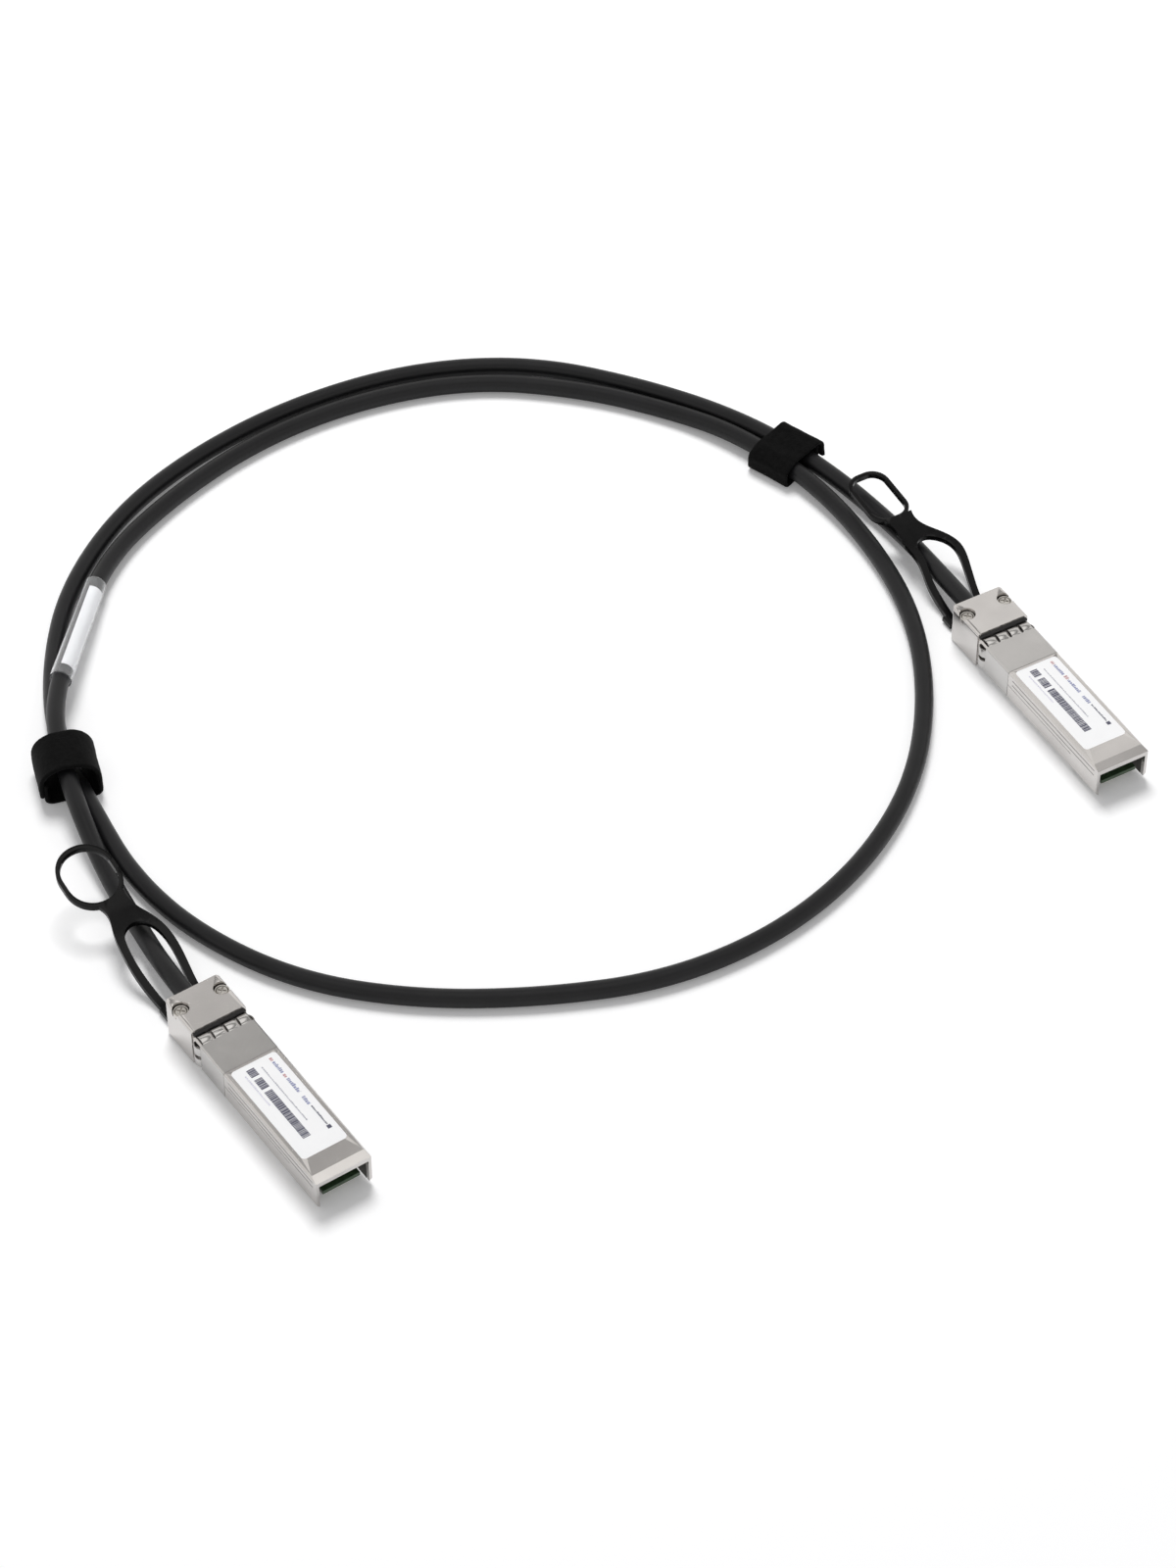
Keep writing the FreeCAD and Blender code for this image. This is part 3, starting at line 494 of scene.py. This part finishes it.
def strap_section():
    """Corners (x, n) round the strap's cut end, n being across its thickness."""
    half, thick, edge = STRAP_WIDTH / 2, STRAP_THICK / 2, STRAP_EDGE
    points = []
    for side in (1, -1):
        for k in range(FACE_STEPS + 1):
            points.append((side * (half - edge) * (2 * k / FACE_STEPS - 1), side * thick))
        for k in range(1, ROUND_STEPS):
            turn = math.pi / 2 * (1 - 2 * k / ROUND_STEPS)
            points.append((side * (half - edge + edge * math.cos(turn)),
                           side * (thick - edge + edge * math.sin(turn))))
    return points


def unevenness(at, walked, x):
    """How far a point of the strap is moved outward, and along x."""
    fuzz = noise.noise(at / FUZZ_SIZE) * FUZZ_HEIGHT
    sway = noise.noise(Vector((walked / SWAY_ALONG, x / SWAY_ACROSS, SWAY_SEED))) * SWAY_HEIGHT
    side = math.copysign(1, x)
    fray = noise.noise(Vector((walked / FRAY_ALONG, FRAY_SEED, side))) * FRAY_HEIGHT
    return fuzz + sway, fray * abs(x) / STRAP_WIDTH


def make_strap(name, corners, radii, start, lap, skew, place):
    """A strip of hook and loop tape wound once round, its end lapped over its beginning.
    It begins start metres round the loop, the lap is lap metres long, and the end lies
    skew metres to the side."""
    loop = even_loop(rounded_path(corners, radii))
    count = len(loop)
    first = round(start / STRAP_STEP)
    total = count + round(lap / STRAP_STEP)
    section = strap_section()
    form = bmesh.new()
    rings = []
    for k in range(total):
        here = loop[(first + k) % count]
        along = (loop[(first + k + 1) % count] - loop[(first + k - 1) % count]).normalized()
        outward = Vector((-along.y, along.x))
        climbed = max(0.0, k - count + CLIMB_STEPS)
        share = min(1.0, climbed / CLIMB_STEPS)
        lift = share * share * (3 - 2 * share) * (STRAP_THICK + LAP_GAP)
        slide = skew * climbed / (total - count + CLIMB_STEPS)
        ring = []
        for x, n in section:
            at = Vector((x + slide, *(here + outward * (n + lift))))
            out, aside = unevenness(at, k * STRAP_STEP, x)
            ring.append(form.verts.new(at + Vector((aside, *(outward * out)))))
        rings.append(ring)
    for a, b in zip(rings, rings[1:]):
        join_loops(form, a, b)
    form.faces.new(rings[0])
    form.faces.new(rings[-1])
    form.transform(place)
    strap = mesh_piece(name, form, [paints["tie_black"]], smooth=True)
    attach(strap, "cable_assembly")
    return strap


def tie_place(first, second, shift, along, turn):
    """A tie's frame, x along its two strands, and how far apart they lie. The tie is shifted
    by (x, y) and along the strands, and turned."""
    runs = []
    for point in (first, second):
        k = ROUTE.index(point)
        runs.append((Vector(ROUTE[k]), Vector(ROUTE[k + 1])))
    way, other = [(end - start).normalized() for start, end in runs]
    way = way + other if way.dot(other) > 0 else way - other
    angle = math.atan2(way.y, way.x)
    across = Vector((-math.sin(angle), math.cos(angle), 0))
    middles = [(start + end) / 2 for start, end in runs]
    middle = (middles[0] + middles[1]) / 2
    middle += Vector((*shift, 0))
    middle += Vector((math.cos(angle), math.sin(angle), 0)) * along
    middle.z = 0
    apart = abs((middles[1] - middles[0]).dot(across))
    return Matrix.Translation(middle) @ Matrix.Rotation(angle + turn, 4, "Z"), apart


def make_tie_a():
    """The tall tie, round one strand over the other."""
    place, _ = tie_place(TIE_A_UPPER, TIE_A_LOWER, TIE_A_SHIFT, 0, TIE_A_TURN)
    half, top = TIE_A_HALF - STRAP_SUNK, TIE_A_TOP - STRAP_SUNK
    corners = [(-half, STRAP_SUNK), (-half, top), (half, top), (half, STRAP_SUNK)]
    tie = make_strap("wrap_tie_a", corners, TIE_A_RADII, TIE_A_START, TIE_A_LAP, 0, place)
    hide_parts("tie_a")
    return tie


def make_tie_b():
    """The low tie, round two strands side by side."""
    place, apart = tie_place(TIE_B_INNER, TIE_B_OUTER, (0, 0), TIE_B_ALONG, TIE_B_TURN)
    reach = apart / 2 + CABLE_RADIUS + TIE_B_SPARE
    inner = -reach - TIE_B_SPARE_INNER + STRAP_SUNK
    outer = reach + TIE_B_SPARE_OUTER - STRAP_SUNK
    top = TIE_B_TOP - STRAP_SUNK
    corners = [(inner, STRAP_SUNK), (inner, TIE_B_SHOULDER - STRAP_SUNK / 2),
               (inner + TIE_B_SLOPE, top), (outer, top), (outer, STRAP_SUNK)]
    tie = make_strap("wrap_tie_b", corners, TIE_B_RADII, TIE_B_START, TIE_B_LAP, TIE_B_SKEW,
                     place)
    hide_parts("tie_b")
    return tie


tie_a = make_tie_a()
tie_b = make_tie_b()

exit_point("a", PLUG_LENGTH)


# ---------------------------------------------------------------- label print
# plain marks: kind, ink, from and to along the label (0 at the back), and across it (0 left)
LABEL_MARKS = [
    ("code", "ink", 0.050, 0.130, 0.28, 0.45),
    ("code", "ink", 0.160, 0.270, 0.28, 0.45),
    ("code", "ink", 0.300, 0.830, 0.28, 0.45),
    ("line", "pale_ink", 0.090, 0.430, 0.185, 0.225),
    ("line", "grey_ink", 0.080, 0.700, 0.570, 0.600),
    ("line", "red_ink", 0.040, 0.075, 0.800, 0.880),
    ("line", "blue_ink", 0.085, 0.215, 0.800, 0.880),
    ("line", "red_ink", 0.230, 0.270, 0.800, 0.880),
    ("line", "blue_ink", 0.280, 0.440, 0.800, 0.880),
    ("line", "blue_ink", 0.490, 0.580, 0.795, 0.880),
    ("line", "ink", 0.600, 0.810, 0.825, 0.865),
    ("spot", "ink", 0.820, 0.855, 0.800, 0.885),
]
# the least and greatest slab and gap in a mark, as shares of the label's length
MARK_RHYTHM = {
    "code": ((0.007, 0.019), (0.002, 0.005)),
    "line": ((0.007, 0.018), (0.003, 0.006)),
}
LINE_TRIM = 0.4                     # the most that a slab of a line is cut short
LABEL_SEEDS = {"a": 11, "b": 12}


def mark_spans(kind, start, finish, draw):
    """The short slabs that make up one mark, as shares of the label's length."""
    if kind == "spot":
        return [(start, finish)]
    slabs, gaps = MARK_RHYTHM[kind]
    spans = []
    place = start
    while place < finish:
        end = min(place + draw.uniform(*slabs), finish)
        spans.append((place, end))
        place = end + draw.uniform(*gaps)
    return spans


def label_print(end):
    """The printed marks of one plug's label, a film of ink each."""
    draw = random.Random(LABEL_SEEDS[end])
    form = bmesh.new()
    inks = sorted({ink for _, ink, *_ in LABEL_MARKS})
    for kind, ink, start, finish, left, right in LABEL_MARKS:
        for near, far in mark_spans(kind, start, finish, draw):
            trim = draw.uniform(0, LINE_TRIM) * (right - left) if kind == "line" else 0
            middle = (LABEL_FRONT + LABEL_LENGTH * (1 - (near + far) / 2),
                      LABEL_WIDTH * (0.5 - (left + right - trim) / 2), LABEL_TOP)
            size = (LABEL_LENGTH * (far - near), LABEL_WIDTH * (right - left - trim),
                    INK_HEIGHT)
            for vert in add_box(form, middle, size):
                for face in vert.link_faces:
                    face.material_index = inks.index(ink)
    plug_piece("label_print", form, inks, end)


for end in "ab":
    label_print(end)


# ---------------------------------------------------------------- trim and painted shade on the heads
SCREW_PLACE = (56 * MM, 5.15 * MM)
SCREW_FLOOR = 8.6 * MM
RING_STEPS = 48
RING_SECTION = [                    # radius, and height over the recess's floor
    (1.4 * MM, 0),
    (1.4 * MM, 0.9 * MM),
    (1.5 * MM, 1.0 * MM),
    (1.6 * MM, 1.0 * MM),
    (1.7 * MM, 0.9 * MM),
    (1.7 * MM, 0),
]
# the dark strip of painted shade under each head's front edge: its size along, across and up
SHADE_STRIP_SIZE = (0.55 * MM, 12.9 * MM, 0.5 * MM)
SHADE_STRIP_SUNK = 0.03 * MM               # into the body's top


def screw_rings(end):
    """A lock ring round each screw's head."""
    form = bmesh.new()
    u, v = SCREW_PLACE
    turns = [math.tau * k / RING_STEPS for k in range(RING_STEPS)]
    for side in (1, -1):
        loops = []
        for radius, height in RING_SECTION:
            loops.append([form.verts.new((u + radius * math.cos(turn),
                                          side * v + radius * math.sin(turn),
                                          SCREW_FLOOR + height)) for turn in turns])
        for a, b in zip(loops, loops[1:] + loops[:1]):
            join_loops(form, a, b)
    plug_piece("screw_rings", form, ["screw_steel"], end)


def head_painted_shade(end):
    """A dark strip under the head's front edge: painted shade where the head's front face
    falls into shadow, not a part.
    """
    form = bmesh.new()
    length, _, height = SHADE_STRIP_SIZE
    add_box(form, (HEAD_FRONT - length / 2, 0, BODY_TOP + height / 2 - SHADE_STRIP_SUNK), SHADE_STRIP_SIZE)
    plug_piece("head_painted_shade", form, ["chip_black"], end)


for end in "ab":
    screw_rings(end)
    head_painted_shade(end)


# ---------------------------------------------------------------- thin trim and painted shade on the bodies
# boxes, from and to along the plug, across it and up, in millimetres
# a dark film of painted shade inside the open nose, where its roof and walls are in shadow
NOSE_SHADE_BOXES = [                       # on the open nose's inner walls and roof
    ((1.1, 10.3), (6.0, 6.06), (0.9, 7.93)),
    ((1.1, 10.3), (-6.06, -6.0), (0.9, 7.93)),
    ((1.1, 10.3), (-6.06, 6.06), (7.91, 7.945)),
]
CARD_EDGE = [((1.2, 3.4), (-4.6, 4.6), (2.72, 3.68))]
SIDE_LINES = [                      # along the outside of both walls
    ((1.5, 34.5), (6.76, 6.8), (7.55, 7.73)),
    ((1.5, 34.5), (6.76, 6.8), (6.2, 6.38)),
    ((1.5, 34.5), (-6.8, -6.76), (7.55, 7.73)),
    ((1.5, 34.5), (-6.8, -6.76), (6.2, 6.38)),
]


def trim_and_shade_piece(name, boxes, finish, end):
    form = bmesh.new()
    for spans in boxes:
        add_box(form, [(low + high) / 2 * MM for low, high in spans],
                [(high - low) * MM for low, high in spans])
    plug_piece(name, form, [finish], end)


for end in "ab":
    trim_and_shade_piece("nose_painted_shade", NOSE_SHADE_BOXES, "painted_shade_film", end)
    trim_and_shade_piece("card_edge", CARD_EDGE, "circuit_board", end)
    trim_and_shade_piece("side_lines", SIDE_LINES, "groove_shadow", end)


# ---------------------------------------------------------------- floor and light
FLOOR_SIZE = 6
FLOOR_COLOUR = (0.93, 0.93, 0.93)
FLOOR_LIFT = 0.15                   # what brings the floor up to white, seen or reflected

# what gloss reflects, by the sine of the height above the horizon: bright low down and
# overhead, with a dark band between
GLOSS_STOPS = (
    (0.0, 0.42), (0.62, 0.52), (0.715, 0.53), (0.76, 0.26), (0.80, 0.12), (0.85, 0.16),
    (0.90, 0.42), (0.94, 0.7), (1.0, 0.62),
)
GLOSS_TINT = (1, 0.985, 0.965)
GLOSS_STRENGTH = 2
PLAIN_LIGHT = (0.42, 0.42, 0.425, 1)
WHITE = (1, 1, 1, 1)

KEY_PLACE = (-0.20, 1.10, 1.95)
KEY_AIM = (-0.01, 0.03, 0)
KEY_SIZE = 1.0
KEY_WATTS = 34


def make_floor():
    paint = Paint("studio_white", FLOOR_COLOUR, 0.9)
    paint.set("Specular IOR Level", 0.1)
    paint.set("Emission Color", WHITE)
    paths = paint.add("ShaderNodeLightPath").outputs
    seen = greatest(paint.tree, paths["Is Camera Ray"], paths["Is Glossy Ray"],
                    paths["Is Transmission Ray"])
    lift = paint.add("ShaderNodeMath", operation="MULTIPLY")
    lift.inputs[1].default_value = FLOOR_LIFT
    paint.link(seen, lift.inputs[0])
    paint.link(lift.outputs[0], paint.shader.inputs["Emission Strength"])
    form = bmesh.new()
    bmesh.ops.create_grid(form, x_segments=1, y_segments=1, size=FLOOR_SIZE)
    mesh_piece("studio_floor", form, [paint.material])


def make_world():
    """A soft surround: plain to light by, white where it is seen, and shaded for gloss."""
    world = bpy.data.worlds.new("surround")
    world.use_nodes = True
    bpy.context.scene.world = world
    tree = world.node_tree
    join = tree.links.new
    place = add_node(tree, "ShaderNodeTexCoord")
    split = add_node(tree, "ShaderNodeSeparateXYZ")
    join(place.outputs["Generated"], split.inputs[0])
    ramp = add_node(tree, "ShaderNodeValToRGB")
    ramp.color_ramp.interpolation = "EASE"
    elements = ramp.color_ramp.elements
    for stop, _ in GLOSS_STOPS[2:]:
        elements.new(stop)
    for element, (stop, level) in zip(elements, GLOSS_STOPS):
        element.position = stop
        element.color = (*[level * tint for tint in GLOSS_TINT], 1)
    join(split.outputs["Z"], ramp.inputs["Fac"])
    bright = add_node(tree, "ShaderNodeVectorMath", operation="SCALE")
    bright.inputs["Scale"].default_value = GLOSS_STRENGTH
    join(ramp.outputs["Color"], bright.inputs[0])
    paths = add_node(tree, "ShaderNodeLightPath").outputs
    light = add_node(tree, "ShaderNodeMix", data_type="RGBA")
    light.inputs["A"].default_value = PLAIN_LIGHT
    join(paths["Is Glossy Ray"], light.inputs["Factor"])
    join(bright.outputs["Vector"], light.inputs["B"])
    final = add_node(tree, "ShaderNodeMix", data_type="RGBA")
    final.inputs["B"].default_value = WHITE
    seen = greatest(tree, paths["Is Camera Ray"], paths["Is Transmission Ray"])
    join(seen, final.inputs["Factor"])
    join(light.outputs["Result"], final.inputs["A"])
    join(final.outputs["Result"], tree.nodes["Background"].inputs["Color"])


def make_key_light():
    """A round soft lamp; metal shows the surround and not the lamp."""
    data = bpy.data.lights.new("key_light", "AREA")
    data.shape = "DISK"
    data.size = KEY_SIZE
    data.energy = KEY_WATTS
    lamp = add_object("key_light", data)
    lamp.location = KEY_PLACE
    lamp.visible_glossy = False
    towards = Vector(KEY_AIM) - Vector(KEY_PLACE)
    lamp.rotation_euler = towards.to_track_quat("-Z", "Y").to_euler()


make_floor()
make_world()
make_key_light()

bpy.context.scene.view_settings.view_transform = "Standard"
